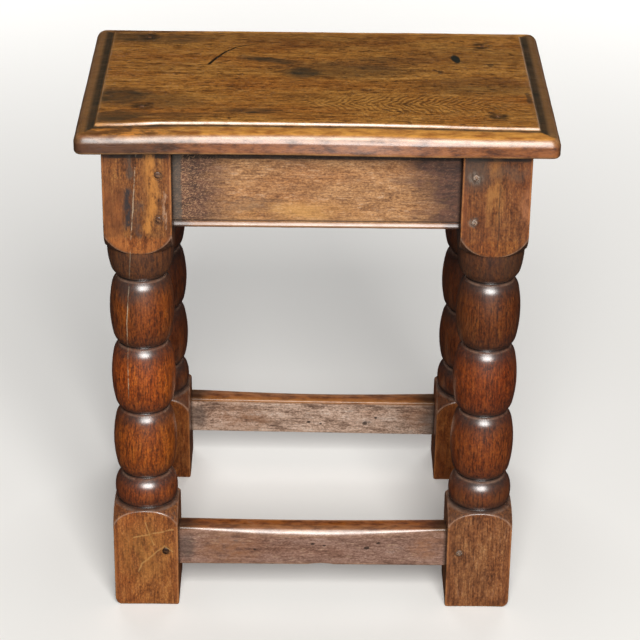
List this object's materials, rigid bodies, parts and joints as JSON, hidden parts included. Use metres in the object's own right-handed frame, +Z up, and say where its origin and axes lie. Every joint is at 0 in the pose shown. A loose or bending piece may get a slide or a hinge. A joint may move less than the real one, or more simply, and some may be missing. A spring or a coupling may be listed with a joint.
{
  "type": "joint stool",
  "caption": "Oak joint stool: oblong moulded top pegged to raked legs turned with bobbins between square blocks, joined by frieze rails and low stretchers.",
  "frame": {"origin": "On the floor, below the centre of the seat board.", "axes": "X runs along the stool, Y across it with the front at -Y, Z up."},
  "size_m": [0.46, 0.3102, 0.53],
  "materials": {
    "top_oak": "worn waxed oak, golden brown",
    "frame_oak": "polished oak, reddish brown",
    "peg_oak": "dark riven oak pegs"
  },
  "bodies": {
    "root": {"top_board": "top_oak", "leg_front_left": "frame_oak", "leg_front_right": "frame_oak", "leg_back_left": "frame_oak", "leg_back_right": "frame_oak", "frieze_front": "frame_oak", "frieze_back": "frame_oak", "frieze_left": "frame_oak", "frieze_right": "frame_oak", "stretcher_front": "frame_oak", "stretcher_back": "frame_oak", "stretcher_left": "frame_oak", "stretcher_right": "frame_oak", "frieze_peg_front_left_face_upper": "peg_oak", "frieze_peg_front_left_face_lower": "peg_oak", "stretcher_peg_front_left_face": "peg_oak", "frieze_peg_front_left_end_upper": "peg_oak", "frieze_peg_front_left_end_lower": "peg_oak", "stretcher_peg_front_left_end": "peg_oak", "top_peg_front_left": "peg_oak", "frieze_peg_front_right_face_upper": "peg_oak", "frieze_peg_front_right_face_lower": "peg_oak", "stretcher_peg_front_right_face": "peg_oak", "frieze_peg_front_right_end_upper": "peg_oak", "frieze_peg_front_right_end_lower": "peg_oak", "stretcher_peg_front_right_end": "peg_oak", "top_peg_front_right": "peg_oak", "frieze_peg_back_left_face_upper": "peg_oak", "frieze_peg_back_left_face_lower": "peg_oak", "stretcher_peg_back_left_face": "peg_oak", "frieze_peg_back_left_end_upper": "peg_oak", "frieze_peg_back_left_end_lower": "peg_oak", "stretcher_peg_back_left_end": "peg_oak", "top_peg_back_left": "peg_oak", "frieze_peg_back_right_face_upper": "peg_oak", "frieze_peg_back_right_face_lower": "peg_oak", "stretcher_peg_back_right_face": "peg_oak", "frieze_peg_back_right_end_upper": "peg_oak", "frieze_peg_back_right_end_lower": "peg_oak", "stretcher_peg_back_right_end": "peg_oak", "top_peg_back_right": "peg_oak"}
  },
  "joints": []
}
